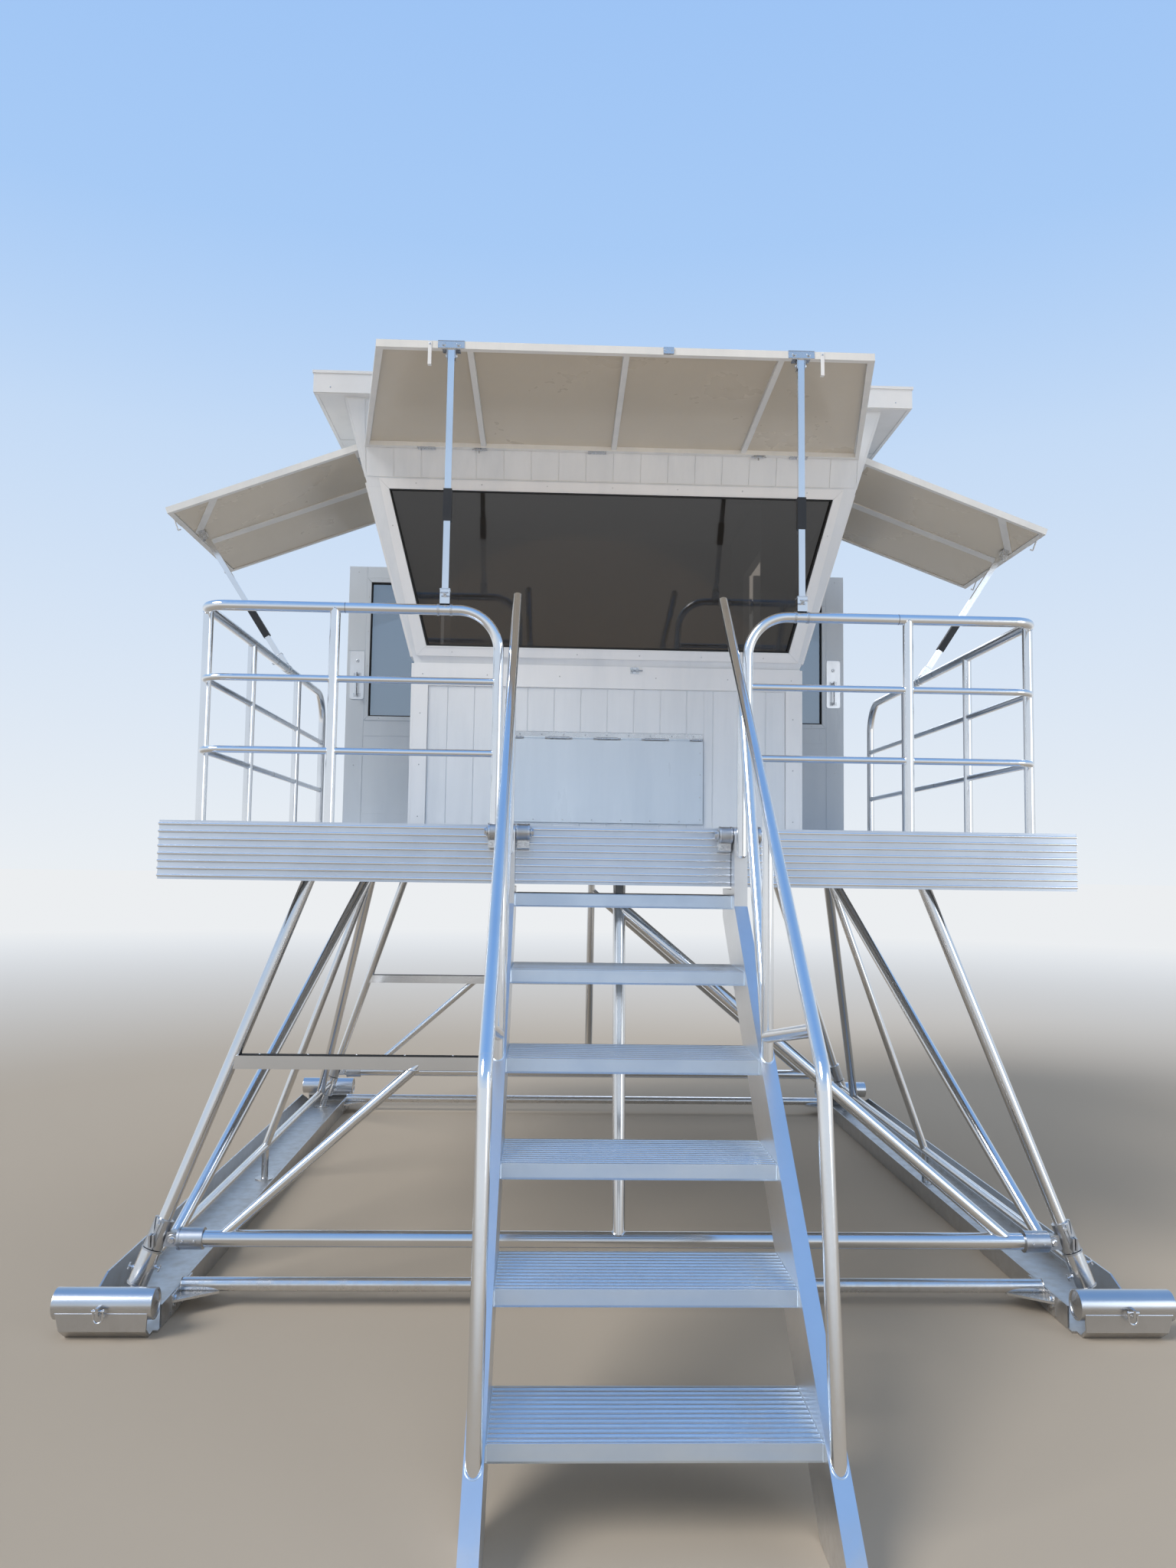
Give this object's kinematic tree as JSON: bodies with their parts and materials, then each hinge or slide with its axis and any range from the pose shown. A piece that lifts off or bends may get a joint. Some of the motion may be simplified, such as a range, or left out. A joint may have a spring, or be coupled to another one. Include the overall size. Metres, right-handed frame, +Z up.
{
  "type": "lifeguard tower",
  "caption": "Lifeguard tower on braced legs and runners: hinged stair, railed deck, cabin with flared windows, propped shutters, doors and a low hatch under a flat roof.",
  "frame": {"origin": "on the ground, at the middle of the footprint's bounding box", "axes": "+Z up, the stair and the cabin's windows face -Y, +X is to the viewer's right"},
  "size_m": [5.3478, 6.7374, 4.9],
  "materials": {
    "frame_tube": "satin, brushed and lightly weathered",
    "rail_tube": "bright satin",
    "ribbed_plank": "satin with raised lines",
    "cabin_boards": "semi-gloss white boards with grooves",
    "white_trim": "semi-gloss white",
    "roof_paint": "semi-gloss white",
    "shutter_panel": "satin",
    "door_paint": "semi-gloss white",
    "tinted_glass": "smooth, tinted",
    "black_sleeve": "matte black",
    "steel_fitting": "satin stainless"
  },
  "bodies": {
    "tower": {"runners": "frame_tube", "runner_noses": "frame_tube", "tow_shackles": "steel_fitting", "runner_pipes": "frame_tube", "front_legs": "frame_tube", "rear_legs": "frame_tube", "left_side_braces": "frame_tube", "right_side_braces": "frame_tube", "leg_clamps": "frame_tube", "cross_tubes": "frame_tube", "ground_tubes": "frame_tube", "front_bracing": "frame_tube", "rear_bracing": "frame_tube", "deck_beams": "frame_tube", "deck_joists": "frame_tube", "deck_planks": "ribbed_plank", "front_fascia": "ribbed_plank", "rear_fascia": "ribbed_plank", "side_fascias": "ribbed_plank", "left_front_railing": "rail_tube", "right_front_railing": "rail_tube", "left_side_railing": "rail_tube", "right_side_railing": "rail_tube", "front_wall": "cabin_boards", "side_walls": "cabin_boards", "rear_wall": "cabin_boards", "front_flared_wall": "cabin_boards", "left_flared_wall": "cabin_boards", "right_flared_wall": "cabin_boards", "window_frames": "white_trim", "window_glass": "tinted_glass", "wall_trim": "white_trim", "roof": "roof_paint", "front_shutter": "shutter_panel", "left_shutter": "shutter_panel", "right_shutter": "shutter_panel", "shutter_props": "rail_tube", "prop_sleeves": "black_sleeve", "door_hinges": "steel_fitting", "hatch_hinge": "steel_fitting", "stair_brackets": "frame_tube"},
    "left_door": {"left_door": "door_paint", "left_door_glass": "tinted_glass"},
    "right_door": {"right_door": "door_paint", "right_door_glass": "tinted_glass"},
    "front_hatch": {"front_hatch": "door_paint"},
    "stair": {"stair_stringers": "frame_tube", "stair_treads": "ribbed_plank", "stair_handrails": "rail_tube"}
  },
  "joints": [
    {"name": "left_door_hinge", "type": "hinge", "parent": "tower", "child": "left_door", "pos_m": [-1.221, 2.26919, 3.265], "axis": [0, 0, 1], "range_deg": [0, 90]},
    {"name": "right_door_hinge", "type": "hinge", "parent": "tower", "child": "right_door", "pos_m": [1.221, 2.26919, 3.265], "axis": [0, 0, -1], "range_deg": [0, 90]},
    {"name": "front_hatch_hinge", "type": "hinge", "parent": "tower", "child": "front_hatch", "pos_m": [0, 0.45919, 2.802], "axis": [-1, 0, 0], "range_deg": [0, 90]},
    {"name": "stair_hinge", "type": "hinge", "parent": "tower", "child": "stair", "pos_m": [0, -1.29681, 2.157], "axis": [-1, 0, 0], "range_deg": [0, 40]}
  ]
}
